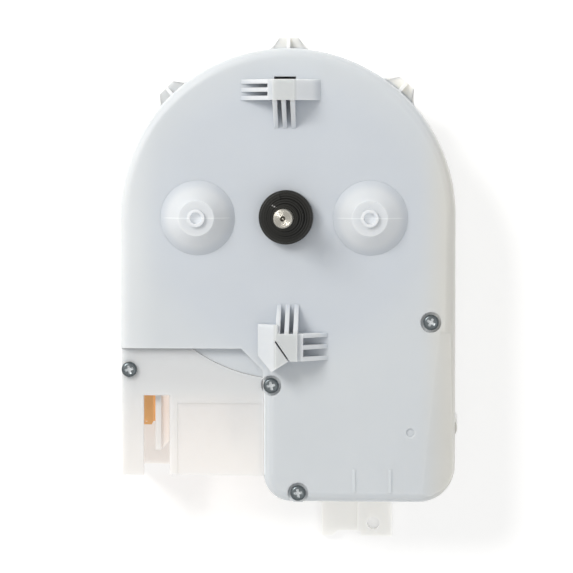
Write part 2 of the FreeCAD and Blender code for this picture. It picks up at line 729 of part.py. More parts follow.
def build_program_disc():
    rim_in = disc_pitch_r - tooth_bottom * disc_module - wall
    disc = gear(disc_teeth, disc_module, disc_gear_z, disc_gear_width, idler_angle, 1)
    disc = disc.cut(cylinder(0, 0, disc_gear_z - 1, disc_web_z, rim_in))
    disc = disc.cut(cylinder(0, 0, disc_web_z + disc_web, disc_gear_z + disc_gear_width + 1, rim_in))
    shoulder_z = face_z - wall - 1
    neck = revolved([(0, journal_z), (journal_r, journal_z), (journal_r, shoulder_z), (neck_r, shoulder_z),
                     (neck_r, neck_top_z), (0, neck_top_z)])
    disc = joined(disc, neck)

    # Cam tracks: low rings with raised lobes of different lengths
    lobe_plans = ((0, 38, 70, 22, 130, 60, 235, 28, 300, 24), (12, 24, 60, 50, 150, 20, 200, 80, 320, 16),
                  (30, 70, 128, 26, 190, 44, 262, 18, 306, 30), (5, 18, 50, 34, 110, 90, 236, 40))
    for column, plan in zip(switch_columns, lobe_plans):
        middle_r = math.hypot(column_x[column], nose_y)
        inner_r = middle_r - track_width / 2
        outer_r = middle_r + track_width / 2
        ring = cylinder(0, 0, track_bottom_z, disc_web_z, outer_r).cut(
            cylinder(0, 0, track_bottom_z, disc_web_z, inner_r))
        lobes = []
        for start, span in zip(plan[0::2], plan[1::2]):
            sector = Part.makeCylinder(outer_r, lobe_height, Vec(0, 0, lobe_bottom_z), UP, span)
            core = Part.makeCylinder(inner_r, lobe_height, Vec(0, 0, lobe_bottom_z), UP, 360)
            lobes.append(turned(sector.cut(core), start))
        disc = joined(disc, ring, *lobes)

    # Stiffening ribs on the front side
    rib_top = disc_gear_z + disc_gear_width
    for index in range(disc_ribs):
        rib = box(journal_r - 1, rim_in + 0.5, -disc_rib / 2, disc_rib / 2, disc_web_z + disc_web / 2, rib_top)
        disc = joined(disc, turned(rib, (index + 0.5) * 360 / disc_ribs))

    # Bore with a flat that drives the shaft
    bore_r = shaft_r + shaft_fit
    bore = cylinder(0, 0, journal_z - 1, neck_top_z + 1, bore_r)
    key = box(-2 * shaft_r, -(shaft_r - shaft_flat + shaft_fit), -2 * shaft_r, 2 * shaft_r,
              journal_z - 2, face_z - wall)
    return disc.cut(bore.cut(key))


def build_dial_hub():
    z0 = hub_bottom_z
    z1 = z0 + hub_base_height
    z2 = z1 + hub_mid_height
    z3 = z2 + hub_top_height
    rim_r = hub_base_r - hub_chamfer
    hub = revolved([(0, z0), (hub_base_r, z0), (hub_base_r, z1 - hub_chamfer), (rim_r, z1), (hub_mid_r, z1),
                    (hub_mid_r, z2), (hub_top_r, z2), (hub_top_r, z3), (0, z3)])
    key = box(hub_top_r, rim_r, -hub_key_width / 2, hub_key_width / 2, z1 - hub_chamfer, z1 + hub_key_height)
    hub = joined(hub, turned(key, hub_key_angle))
    hub = hub.cut(cylinder(0, 0, z0 - 1, neck_top_z + hub_fit, neck_r + hub_fit))
    return hub.cut(cylinder(0, 0, z0, z3 + 1, shaft_r + shaft_fit))


def build_shaft():
    low = shaft_bottom_z
    top = shaft_top_z
    seat_z = hub_top_z + knob_seat_gap
    groove_r = shaft_r - clip_groove
    shaft = revolved([(0, low), (shaft_r, low), (shaft_r, clip_z), (groove_r, clip_z),
                      (groove_r, clip_z + clip_thickness), (shaft_r, clip_z + clip_thickness),
                      (shaft_r, seat_z), (knob_seat_r, seat_z), (knob_seat_r, top - shaft_chamfer),
                      (knob_seat_r - shaft_chamfer, top), (shaft_dimple_r, top), (0, top - shaft_dimple_r)])
    flat = box(-2 * shaft_r, -(shaft_r - shaft_flat), -2 * shaft_r, 2 * shaft_r, shaft_flat_bottom_z,
               shaft_flat_top_z)
    return shaft.cut(flat)


def build_shaft_clip():
    clip = cylinder(0, 0, clip_z, clip_z + clip_thickness, clip_r)
    clip = clip.cut(cylinder(0, 0, clip_z - 1, clip_z + 2, shaft_r - clip_groove))
    return clip.cut(box(0, 2 * clip_r, -clip_mouth / 2, clip_mouth / 2, clip_z - 1, clip_z + 2))


def build_idler():
    wheel = gear(idler_teeth, fine_module, idler_gear_z, idler_gear_width, motor_angle, 1)
    middle = cylinder(0, 0, idler_gear_z, idler_pinion_z, idler_hub_r)
    half_tooth = 180 / pinion_teeth
    pinion = gear(pinion_teeth, disc_module, idler_pinion_z, idler_pinion_width,
                  idler_angle + 180 + half_tooth, 2)
    whole = joined(wheel, middle, pinion)
    bore = cylinder(0, 0, 0, face_z, idler_pin_r + running_fit)
    return moved(whole.cut(bore), idler_x, idler_y)


def build_idler_pin():
    top = idler_pinion_z + idler_pinion_width + bearing_gap + idler_pin_seat
    return cylinder(idler_x, idler_y, idler_pin_depth, top, idler_pin_r)


def build_motor_pinion():
    half_tooth = 180 / pinion_teeth
    pinion = gear(pinion_teeth, fine_module, idler_gear_z - 0.4, motor_pinion_width,
                  motor_angle + 180 + half_tooth, 2)
    spindle = cylinder(0, 0, wall + motor_height / 2, idler_gear_z, spindle_r)
    return moved(joined(pinion, spindle), motor_x, motor_y)


def build_motor_can():
    z0 = wall
    can = revolved([(0, z0), (motor_r, z0), (motor_r, motor_top_z - motor_step),
                    (motor_step_r, motor_top_z - motor_step), (motor_step_r, motor_top_z), (0, motor_top_z)])
    can = can.cut(cylinder(0, 0, wall + motor_height / 2 - 0.5, motor_top_z + 1, spindle_r + running_fit))
    return moved(can, motor_x, motor_y)


def build_motor_plate():
    z0 = motor_top_z
    z1 = z0 + motor_plate
    plate = cylinder(motor_x, motor_y, z0, z1, motor_step_r)
    bar = box(-motor_ear_reach, motor_ear_reach, -motor_ear_r, motor_ear_r, z0, z1)
    plate = joined(plate, moved(turned(bar, motor_ear_angle), motor_x, motor_y))
    for x, y in motor_ears():
        plate = joined(plate, cylinder(x, y, z0, z1, motor_ear_r))
        plate = plate.cut(cylinder(x, y, z0 - 1, z1 + 1, motor_screw_r + screw_fit))
    return plate.cut(cylinder(motor_x, motor_y, z0 - 1, z1 + 1, 2 * spindle_r))


def build_motor_screws():
    seat = motor_top_z + motor_plate
    return Part.makeCompound([pan_screw(x, y, seat, motor_screw_head_r, motor_screw_head, motor_screw_r,
                                        motor_screw_length) for x, y in motor_ears()])


def build_motor_terminals():
    z0 = wall + motor_height / 2
    tabs = []
    for side in (-1, 1):
        y = motor_y + motor_tab_shift + side * motor_tab_gap
        tab = box(motor_x - motor_r - motor_tab_reach, motor_x, y - motor_tab_width / 2, y + motor_tab_width / 2,
                  z0, z0 + tab_thickness)
        tabs.append(tab.cut(cylinder(motor_x, motor_y, 0, motor_top_z, motor_r)))
    return Part.makeCompound(tabs)


def build_cover_screws():
    screws = []
    for name, (x, y) in screw_places.items():
        seat = block_top_z if name == "corner" else face_z - screw_sink
        screws.append(pan_screw(x, y, seat, screw_head_r, screw_head_height, screw_shank_r, screw_length))
    return Part.makeCompound(screws)


def main():
    os.makedirs("parts", exist_ok=True)
    nodes = {
        "front_cover": build_front_cover(),
        "rear_housing": build_rear_housing(),
        "switch_block": build_switch_block(),
        "cover_screws": build_cover_screws(),
        "program_disc": build_program_disc(),
        "dial_hub": build_dial_hub(),
        "shaft": build_shaft(),
        "shaft_clip": build_shaft_clip(),
        "idler_gear": build_idler(),
        "idler_pin": build_idler_pin(),
        "motor_can": build_motor_can(),
        "motor_plate": build_motor_plate(),
        "motor_pinion": build_motor_pinion(),
        "motor_screws": build_motor_screws(),
        "motor_terminals": build_motor_terminals(),
        "line_blade": build_line_strip(upper_row_z, line_blade_z, line_blade_fall_y, -shaft_r, False),
        "line_contact": build_line_strip(lower_row_z, line_contact_z, line_contact_fall_y, bearing_r / 2, True),
    }
    for index, column in enumerate(switch_columns):
        nodes["moving_blade_%d" % (index + 1)] = build_moving_blade(column_x[column])
        nodes["fixed_blade_%d" % (index + 1)] = build_fixed_blade(column_x[column])
    for name, shape in nodes.items():
        print(name, shape.isValid(), len(shape.Solids), round(shape.Volume, 1))
        shape.exportStep("parts/%s.step" % name)


main()
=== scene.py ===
import math

import bmesh
import bpy
from mathutils import Matrix, Vector


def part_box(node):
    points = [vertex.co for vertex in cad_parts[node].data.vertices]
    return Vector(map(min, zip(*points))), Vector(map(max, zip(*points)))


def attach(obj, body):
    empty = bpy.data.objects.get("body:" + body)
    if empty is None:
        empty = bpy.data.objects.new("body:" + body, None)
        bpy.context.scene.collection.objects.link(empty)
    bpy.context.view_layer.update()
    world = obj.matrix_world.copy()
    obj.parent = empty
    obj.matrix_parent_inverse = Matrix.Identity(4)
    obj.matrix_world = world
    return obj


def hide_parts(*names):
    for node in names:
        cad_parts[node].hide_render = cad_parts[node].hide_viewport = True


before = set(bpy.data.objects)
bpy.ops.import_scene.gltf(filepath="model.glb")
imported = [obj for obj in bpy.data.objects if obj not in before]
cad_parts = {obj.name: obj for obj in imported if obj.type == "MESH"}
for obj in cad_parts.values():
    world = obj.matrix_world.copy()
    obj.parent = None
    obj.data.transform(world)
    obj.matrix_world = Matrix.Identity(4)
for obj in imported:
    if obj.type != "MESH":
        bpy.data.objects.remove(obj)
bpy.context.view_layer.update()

# Table and light
# A plain pale tabletop under the timer, a large soft lamp at the upper left and a bright room all
# round, so the shadows are soft and fall to the lower right.
scene = bpy.context.scene
scene.view_settings.view_transform = "Standard"


def screen(red, green, blue):
    """Linear colour of a colour given as it looks on a screen, in steps of 255."""
    steps = [value / 255 for value in (red, green, blue)]
    return (*[step / 12.92 if step <= 0.04045 else ((step + 0.055) / 1.055) ** 2.4 for step in steps], 1.0)


def new_material(name, colour, roughness, metallic=0.0):
    material = bpy.data.materials.new(name)
    material.use_nodes = True
    shader = material.node_tree.nodes["Principled BSDF"]
    shader.inputs["Base Color"].default_value = colour
    shader.inputs["Roughness"].default_value = roughness
    shader.inputs["Metallic"].default_value = metallic
    return material, shader


table_half = 3.0
table_z = -0.0001
table_glow = 0.24
table_mesh = bpy.data.meshes.new("tabletop")
table_mesh.from_pydata([(-table_half, -table_half, table_z), (table_half, -table_half, table_z),
                        (table_half, table_half, table_z), (-table_half, table_half, table_z)], [],
                       [(0, 1, 2, 3)])
tabletop = bpy.data.objects.new("tabletop", table_mesh)
scene.collection.objects.link(tabletop)
table_paint, table_shader = new_material("pale_table", screen(250, 250, 250), 0.9)
table_shader.inputs["Specular IOR Level"].default_value = 0.1
table_shader.inputs["Emission Color"].default_value = (1.0, 1.0, 1.0, 1.0)
table_shader.inputs["Emission Strength"].default_value = table_glow
table_mesh.materials.append(table_paint)

room = bpy.data.worlds.new("bright_room")
room.use_nodes = True
room.node_tree.nodes["Background"].inputs["Color"].default_value = (1.0, 0.995, 0.985, 1.0)
room.node_tree.nodes["Background"].inputs["Strength"].default_value = 0.66
scene.world = room
lamp_aim = Vector((0.0, -0.02, 0.03))


def soft_lamp(name, place, size, power, colour):
    lamp = bpy.data.lights.new(name, "AREA")
    lamp.shape = "DISK"
    lamp.size = size
    lamp.energy = power
    lamp.color = colour
    holder = bpy.data.objects.new(name, lamp)
    scene.collection.objects.link(holder)
    holder.location = place
    holder.rotation_euler = (lamp_aim - Vector(place)).to_track_quat("-Z", "Y").to_euler()


soft_lamp("key_lamp", (-0.55, 0.48, 0.76), 0.48, 6.3, (1.0, 0.985, 0.955))
soft_lamp("fill_lamp", (0.90, -0.50, 1.30), 1.20, 2.0, (0.95, 0.98, 1.0))

# Camera
# As in the photograph: above the face with +Y up, a metre away, leaning a few degrees to the right
# of the shaft and above it, so that a little of the right flank shows.
picture_side = 573
picture_step = 0.00034
axis_pixel = Vector((286.5, 217.0))
face_height = 0.038
camera_distance = 1.0
lean_right = math.radians(3.4)
lean_up = math.radians(3.0)
lens = bpy.data.cameras.new("camera")
lens.sensor_width = 36.0
lens.lens = lens.sensor_width * camera_distance / (picture_side * picture_step)
lens.clip_start = 0.05
lens.clip_end = 20.0
camera = bpy.data.objects.new("camera", lens)
scene.collection.objects.link(camera)
middle = picture_side / 2
target = Vector(((middle - axis_pixel.x) * picture_step, (axis_pixel.y - middle) * picture_step, face_height))
camera_back = Vector((math.tan(lean_right), math.tan(lean_up), 1.0)).normalized()
camera_right = Vector((0, 1, 0)).cross(camera_back).normalized()
camera_up = camera_back.cross(camera_right)
turn = Matrix((camera_right, camera_up, camera_back)).transposed().to_4x4()
camera.matrix_world = Matrix.Translation(target + camera_back * camera_distance) @ turn
scene.camera = camera

# Rear half of the case
# Injection moulded tray of natural milky plastic, with the fixing foot and the floor under the
# wiring block. Where the foot stands free of the drum, a painted glow stands in for the light that passes into
# the plastic.
wall_scatter = 0.0035
mould_round = 0.00025
mould_corner = math.radians(33)
weld_reach = 0.000002
flat_angle = math.radians(0.3)


def value_step(tree, operation, first, second=0.0, third=0.0, clamp=False):
    node = tree.nodes.new("ShaderNodeMath")
    node.operation = operation
    node.use_clamp = clamp
    for socket, value in zip(node.inputs, (first, second, third)):
        if isinstance(value, (int, float)):
            socket.default_value = value
        else:
            tree.links.new(value, socket)
    return node.outputs[0]


def blend(tree, factor, first, second):
    node = tree.nodes.new("ShaderNodeMix")
    node.data_type = "RGBA"
    tree.links.new(factor, node.inputs[0])
    for socket, value in ((node.inputs[6], first), (node.inputs[7], second)):
        if isinstance(value, tuple):
            socket.default_value = value
        else:
            tree.links.new(value, socket)
    return node.outputs[2]


def noise(tree, vector, scale, detail, output="Fac"):
    node = tree.nodes.new("ShaderNodeTexNoise")
    node.inputs["Scale"].default_value = scale
    node.inputs["Detail"].default_value = detail
    tree.links.new(vector, node.inputs["Vector"])
    return node.outputs[output]


def rise(tree, value, low, high, top=1.0):
    """Nought below low, top above high, and smooth between."""
    node = tree.nodes.new("ShaderNodeMapRange")
    node.interpolation_type = "SMOOTHSTEP"
    node.inputs["From Min"].default_value = low
    node.inputs["From Max"].default_value = high
    node.inputs["To Max"].default_value = top
    tree.links.new(value, node.inputs["Value"])
    return node.outputs["Result"]


def fall(tree, value, low, high):
    """One below low, nought above high, and smooth between."""
    return value_step(tree, "SUBTRACT", 1.0, rise(tree, value, low, high))


def times(tree, first, second):
    return value_step(tree, "MULTIPLY", first, second)


def distance(tree, first, second):
    """Length of the line whose two square sides are first and second."""
    squared = times(tree, second, second)
    return value_step(tree, "SQRT", value_step(tree, "MULTIPLY_ADD", first, first, squared))


def place(tree):
    """Point in the part's frame, in metres."""
    return tree.nodes.new("ShaderNodeTexCoord").outputs["Object"]


def axes(tree):
    split = tree.nodes.new("ShaderNodeSeparateXYZ")
    tree.links.new(place(tree), split.inputs["Vector"])
    return split.outputs["X"], split.outputs["Y"], split.outputs["Z"]


def new_group(name, inputs, outputs):
    tree = bpy.data.node_groups.new(name, "ShaderNodeTree")
    for label, kind, value in inputs:
        tree.interface.new_socket(label, in_out="INPUT", socket_type=kind).default_value = value
    for label, kind in outputs:
        tree.interface.new_socket(label, in_out="OUTPUT", socket_type=kind)
    given = tree.nodes.new("NodeGroupInput")
    out = tree.nodes.new("NodeGroupOutput")
    return tree, given.outputs, out.inputs, place(tree)


# Moulded plastic: slow flow clouding in the colour and a fine spark texture in the gloss
moulded, given, out, here = new_group(
    "moulded_plastic",
    [("Body", "NodeSocketColor", (0.7, 0.7, 0.7, 1.0)), ("Cloud", "NodeSocketFloat", 0.05),
     ("Gloss", "NodeSocketFloat", 0.4)],
    [("Color", "NodeSocketColor"), ("Roughness", "NodeSocketFloat"), ("Height", "NodeSocketFloat")])
cloud = value_step(moulded, "SUBTRACT", noise(moulded, here, 26.0, 3.0), 0.5)
cloud = value_step(moulded, "MULTIPLY_ADD", cloud, given["Cloud"], 1.0)
scaled = moulded.nodes.new("ShaderNodeVectorMath")
scaled.operation = "SCALE"
moulded.links.new(given["Body"], scaled.inputs[0])
moulded.links.new(cloud, scaled.inputs["Scale"])
grain = noise(moulded, here, 2400.0, 2.0)
moulded.links.new(scaled.outputs["Vector"], out["Color"])
moulded.links.new(value_step(moulded, "MULTIPLY_ADD", grain, 0.14, given["Gloss"]), out["Roughness"])
moulded.links.new(grain, out["Height"])


def moulded_material(name, body, gloss=0.36, cloud=0.05, scatter=wall_scatter, glow=0.0, lit=None,
                     bump=0.05):
    """body is a colour, or a function that adds nodes to the tree and returns the colour's socket, and
    lit is such a function for the colour of a painted glow, an emission that stands in for light through the
    wall."""
    colour = body if isinstance(body, tuple) else (0.7, 0.7, 0.7, 1.0)
    material, shader = new_material(name, colour, gloss)
    tree = material.node_tree
    finish = tree.nodes.new("ShaderNodeGroup")
    finish.node_tree = moulded
    finish.inputs["Cloud"].default_value = cloud
    finish.inputs["Gloss"].default_value = gloss
    if isinstance(body, tuple):
        finish.inputs["Body"].default_value = body
    else:
        tree.links.new(body(tree), finish.inputs["Body"])
    relief = tree.nodes.new("ShaderNodeBump")
    relief.inputs["Strength"].default_value = bump
    relief.inputs["Distance"].default_value = 0.0002
    tree.links.new(finish.outputs["Height"], relief.inputs["Height"])
    tree.links.new(finish.outputs["Color"], shader.inputs["Base Color"])
    tree.links.new(finish.outputs["Roughness"], shader.inputs["Roughness"])
    tree.links.new(relief.outputs["Normal"], shader.inputs["Normal"])
    shader.inputs["IOR"].default_value = 1.49
    if scatter:
        shader.inputs["Subsurface Weight"].default_value = 1.0
        shader.inputs["Subsurface Radius"].default_value = (1.0, 0.97, 0.92)
        shader.inputs["Subsurface Scale"].default_value = scatter
    shader.inputs["Emission Color"].default_value = (1.0, 0.985, 0.965, 1.0)
    shader.inputs["Emission Strength"].default_value = glow
    if lit:
        tree.links.new(lit(tree), shader.inputs["Emission Color"])
    return material


def finished(node, body, material, corner=mould_corner, edge=mould_round, shifted=None):
    """The node's own form, corners welded, curves shaded smooth and moulded edges a little rounded.
    shifted names a box by two corners, and how far what stands in it is moved."""
    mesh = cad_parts[node].data.copy()
    mesh.name = node + "_finish"
    form = bmesh.new()
    form.from_mesh(mesh)
    bmesh.ops.remove_doubles(form, verts=form.verts, dist=weld_reach)
    bmesh.ops.dissolve_limit(form, angle_limit=flat_angle, verts=form.verts, edges=form.edges)
    if shifted:
        near, far, move = shifted
        for vertex in form.verts:
            if all(near[axis] <= vertex.co[axis] <= far[axis] for axis in range(3)):
                vertex.co += Vector(move)
    form.to_mesh(mesh)
    form.free()
    mesh.materials.clear()
    mesh.materials.append(material)
    mesh.shade_smooth()
    mesh.set_sharp_from_angle(angle=corner)
    piece = bpy.data.objects.new(node + "_finish", mesh)
    scene.collection.objects.link(piece)
    if edge:
        soften = piece.modifiers.new("soft_edges", "BEVEL")
        soften.width = edge
        soften.segments = 2
        soften.limit_method = "ANGLE"
        soften.angle_limit = corner
    even = piece.modifiers.new("even_shading", "WEIGHTED_NORMAL")
    even.keep_sharp = True
    even.weight = 100
    settled = bpy.data.meshes.new_from_object(piece.evaluated_get(bpy.context.evaluated_depsgraph_get()))
    piece.modifiers.clear()
    piece.data = settled
    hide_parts(node)
    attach(piece, body)
    return piece


foot_low_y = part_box("rear_housing")[0][1]
foot_reach = 0.016
foot_fade = 0.001
foot_side_low = 0.0010
foot_side_high = 0.0028


def foot_light(tree):
    """Painted glow in the fixing foot, which stands out from under the case, but none on its under side."""
    y, z = axes(tree)[1:]
    root = -foot_low_y - foot_reach
    out_of_case = rise(tree, times(tree, y, -1.0), root, root + foot_fade)
    upper_side = rise(tree, z, foot_side_low, foot_side_high)
    return blend(tree, times(tree, out_of_case, upper_side), screen(0, 0, 0), screen(250, 248, 244))


rear_plastic = moulded_material("rear_plastic", screen(230, 230, 228), glow=0.20, lit=foot_light)
finished("rear_housing", "housing", rear_plastic)

# Motor
# Sealed synchronous motor in a zinc plated steel can, held under a pressed plate by two screws.
# Its moulded pinion turns the idler, and two stamped tabs bring the current.
brushed, given, out, here = new_group(
    "plated_metal",
    [("Metal", "NodeSocketColor", (0.6, 0.6, 0.6, 1.0)), ("Gloss", "NodeSocketFloat", 0.3),
     ("Rolling", "NodeSocketVector", (600.0, 60.0, 600.0))],
    [("Color", "NodeSocketColor"), ("Roughness", "NodeSocketFloat"), ("Height", "NodeSocketFloat")])
stretched = brushed.nodes.new("ShaderNodeVectorMath")
stretched.operation = "MULTIPLY"
brushed.links.new(here, stretched.inputs[0])
brushed.links.new(given["Rolling"], stretched.inputs[1])
lines = noise(brushed, stretched.outputs["Vector"], 3.0, 3.0)
spangle = noise(brushed, here, 220.0, 2.0)
tone = value_step(brushed, "MULTIPLY_ADD", spangle, 0.16, 0.90)
scaled = brushed.nodes.new("ShaderNodeVectorMath")
scaled.operation = "SCALE"
brushed.links.new(given["Metal"], scaled.inputs[0])
brushed.links.new(tone, scaled.inputs["Scale"])
brushed.links.new(scaled.outputs["Vector"], out["Color"])
brushed.links.new(value_step(brushed, "MULTIPLY_ADD", lines, 0.16, given["Gloss"]), out["Roughness"])
brushed.links.new(lines, out["Height"])


def metal_material(name, colour, gloss, rolling=(600.0, 60.0, 600.0), metallic=1.0, bump=0.08):
    material, shader = new_material(name, colour, gloss, metallic)
    tree = material.node_tree
    finish = tree.nodes.new("ShaderNodeGroup")
    finish.node_tree = brushed
    finish.inputs["Metal"].default_value = colour
    finish.inputs["Gloss"].default_value = gloss
    finish.inputs["Rolling"].default_value = rolling
    relief = tree.nodes.new("ShaderNodeBump")
    relief.inputs["Strength"].default_value = bump
    relief.inputs["Distance"].default_value = 0.0001
    tree.links.new(finish.outputs["Height"], relief.inputs["Height"])
    tree.links.new(finish.outputs["Color"], shader.inputs["Base Color"])
    tree.links.new(finish.outputs["Roughness"], shader.inputs["Roughness"])
    tree.links.new(relief.outputs["Normal"], shader.inputs["Normal"])
    return material


plated_steel = metal_material("plated_steel", screen(186, 188, 190), 0.30)
stamped_brass = metal_material("stamped_brass", screen(206, 172, 100), 0.28)
acetal = moulded_material("natural_acetal", screen(234, 231, 219), gloss=0.30, cloud=0.02)
finished("motor_can", "housing", plated_steel, edge=0.0003)
finished("motor_plate", "housing", plated_steel, edge=0.0001)
finished("motor_terminals", "housing", stamped_brass, edge=0.0)
finished("motor_pinion", "motor_pinion", acetal, edge=0.0)

# Idler
# Double gear moulded in natural acetal, which slows the motor down for the disc. It turns on a
# ground steel pin between the two halves of the case.
ground_steel = metal_material("ground_steel", screen(196, 196, 194), 0.18)
finished("idler_gear", "idler_gear", acetal, edge=0.0)
finished("idler_pin", "housing", ground_steel, edge=0.0)

# Contact blades
# Stamped copper alloy strips: flat tabs in the wiring socket that run on as thin springs under the
# cam disc, and the two strips of the line switch under the shaft.
copper_strip = metal_material("copper_strip", screen(252, 194, 128), 0.30, rolling=(700.0, 25.0, 700.0),
                              metallic=0.2)
copper_shader = copper_strip.node_tree.nodes["Principled BSDF"]
# Painted glow: a faint emission stands in for light that reaches the strips through the milky plastic.
copper_shader.inputs["Emission Color"].default_value = screen(255, 196, 140)
copper_shader.inputs["Emission Strength"].default_value = 0.12
blade_nodes = ["%s_blade_%d" % (half, index) for half in ("moving", "fixed") for index in range(1, 5)]
for node in ["line_blade", "line_contact"] + blade_nodes:
    finished(node, "housing", copper_strip, edge=0.0)

# Program disc
# One large moulding in pale grey plastic: the ring gear on its rim, the cam tracks behind, which
# press the blades, and the neck in front, which comes out through the cover.
cam_plastic = moulded_material("cam_plastic", screen(214, 217, 221), gloss=0.32, cloud=0.03)
finished("program_disc", "program_disc", cam_plastic, edge=0.0)

# Wiring block
# Separate moulding of the same plastic, open at the lower edge for the plug. Nothing dark lies behind
# it, so it is painted paler and warmer than the cover, most of all towards its mouth, as painted light.
block_low, block_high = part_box("switch_block")
seam_fade = 0.0002
seam_top = 0.0366
seam_top_fade = 0.0003
seam_end_fade = 0.001
drum_seam_r = 0.05555
arc_light = 0.12
roof_depth = 0.0012
wall_skin = 0.0009


def block_colour(tree):
    y = axes(tree)[1]
    # Painted light: paler and warmer towards the open mouth.
    mouth = rise(tree, times(tree, y, -1.0), -block_high[1], -block_low[1])
    return blend(tree, mouth, screen(208, 211, 213), screen(226, 224, 222))


def seam_mask(tree, x, y, z, near, far):
    """The narrow gap beside the motor lobe, and the one along the round edge of the drum."""
    beside = times(tree, rise(tree, x, near, near + seam_fade), fall(tree, x, far, far + seam_fade))
    above = rise(tree, y, block_low[1], block_low[1] + seam_end_fade)
    below_face = fall(tree, z, seam_top - seam_top_fade, seam_top)
    low_side = rise(tree, times(tree, y, -1.0), -block_high[1], -block_high[1] + seam_fade)
    here = times(tree, low_side, below_face)
    straight = times(tree, times(tree, beside, above), here)
    off = value_step(tree, "ABSOLUTE", value_step(tree, "SUBTRACT", distance(tree, y, x), drum_seam_r))
    arc = times(tree, fall(tree, off, seam_fade, 2 * seam_fade), here)
    return value_step(tree, "MAXIMUM", straight, times(tree, arc, arc_light))


def block_light(tree):
    """Painted glow in the seams and in the open socket under the block's roof, behind its outer wall, and a
    faint one elsewhere.
    """
    x, y, z = axes(tree)
    under_roof = rise(tree, times(tree, z, -1.0), roof_depth - block_high[2], -block_high[2] / 2)
    inside = rise(tree, x, block_low[0] + wall_skin, block_low[0] + 2 * wall_skin)
    seam = seam_mask(tree, x, y, z, block_high[0] - seam_fade, block_high[0] + seam_fade)
    mask = value_step(tree, "MAXIMUM", times(tree, under_roof, inside), seam)
    return blend(tree, mask, screen(70, 70, 70), screen(248, 240, 234))


block_plastic = moulded_material("block_plastic", block_colour, scatter=0.005, glow=0.26, lit=block_light)
finished("switch_block", "housing", block_plastic, edge=0.0001)

# Front cover
# Moulded lid with a round shoulder, two pilot cones, two hook posts, rim tabs and the lobe over the
# motor. Over the grey disc close behind its face, painted shade darkens and cools the face; painted light
# makes the free edges paler.
cover_low_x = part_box("front_cover")[0][0]
drum_clear = 0.040
drum_edge = 0.0565
left_pale = 0.042
lift_low = 0.0385
lift_high = 0.0415
post_low = 0.0464
post_top = 0.0472
tab_root = 0.0572
tab_fade = 0.0012
tab_low_y = 0.01
tab_pale_x = 0.040
warm_low_x = 0.044
warm_high_x = 0.056
cone_middle_x = -0.0009
cone_offset = 0.0294
cone_y = -0.0003
cone_hole_r = 0.0020
cone_seam_half = 0.00012
ramp_low_y = 0.0385
ramp_left_x = 0.0033
ramp_right_x = 0.0132
ramp_fade = 0.0002
ramp_light = 0.35
lobe_seam = 0.0006


def cover_colour(tree):
    """Body colour with painted light and shade: each line lays the colour of one place over what is there."""
    x, y, z = axes(tree)
    radius = distance(tree, y, x)
    # Painted shade: darker and cooler over the drum, as the shade in the closed case shows through; paler
    # towards the edge.
    rim = rise(tree, radius, drum_clear, drum_edge, 0.85)
    colour = blend(tree, rim, screen(204, 209, 215), screen(209, 213, 216))
    # Painted light: the left side, towards the lamp, is paler.
    left_side = rise(tree, times(tree, x, -1.0), left_pale, -cover_low_x)
    colour = blend(tree, left_side, colour, screen(220, 223, 225))
    # Painted light: the raised parts, which stand clear of the drum, are paler.
    lifted = rise(tree, z, lift_low, lift_high, 0.9)
    colour = blend(tree, lifted, colour, screen(217, 220, 223))
    aside = value_step(tree, "ABSOLUTE", value_step(tree, "SUBTRACT", y, cone_y))
    mould_seam = times(tree, fall(tree, aside, cone_seam_half, 2 * cone_seam_half), lifted)
    colour = blend(tree, mould_seam, colour, screen(230, 233, 235))
    colour = blend(tree, rise(tree, z, post_low, post_top), colour, screen(204, 207, 208))
    # Painted light: the rim tabs are paler, the right one most, which lifts the shade that falls beside the
    # wall.
    tabs = times(tree, rise(tree, radius, tab_root, tab_root + tab_fade), rise(tree, y, 0.0, tab_low_y))
    tab_colour = blend(tree, rise(tree, x, -tab_pale_x, tab_pale_x), screen(212, 214, 215),
                       screen(242, 241, 236))
    colour = blend(tree, tabs, colour, tab_colour)
    return blend(tree, rise(tree, x, warm_low_x, warm_high_x, 0.8), colour, screen(212, 210, 203))


def cover_light(tree):
    """Painted glow in the cones' holes, in the lobe's seam and on the ramp right of the upper hook, which
    lifts their shade.
    """
    x, y, z = axes(tree)
    off_middle = value_step(tree, "ABSOLUTE", value_step(tree, "SUBTRACT", x, cone_middle_x))
    away = value_step(tree, "SUBTRACT", off_middle, cone_offset)
    reach = distance(tree, value_step(tree, "SUBTRACT", y, cone_y), away)
    hole = fall(tree, reach, 0.9 * cone_hole_r, 1.1 * cone_hole_r)
    seam = seam_mask(tree, x, y, z, block_high[0], block_high[0] + lobe_seam)
    on_ramp = times(tree, rise(tree, y, ramp_low_y, ramp_low_y + ramp_fade),
                    rise(tree, z, lift_low, lift_high, ramp_light))
    right_of_post = times(tree, rise(tree, x, ramp_left_x, ramp_left_x + ramp_fade),
                          fall(tree, x, ramp_right_x, ramp_right_x + ramp_left_x))
    bright = value_step(tree, "MAXIMUM", value_step(tree, "MAXIMUM", hole, seam),
                        times(tree, on_ramp, right_of_post))
    return blend(tree, bright, screen(0, 0, 0), screen(236, 238, 240))


cover_plastic = moulded_material("cover_plastic", cover_colour, cloud=0.08, scatter=0.002, glow=0.22,
                                 lit=cover_light)

# The upper hook post stands a little nearer the round end than its solid does
upper_hook = ((-0.0180, 0.0240, 0.0359), (0.0140, 0.0445, 0.0480), (0.0, 0.0035, 0.0))
finished("front_cover", "housing", cover_plastic, edge=0.00015, shifted=upper_hook)

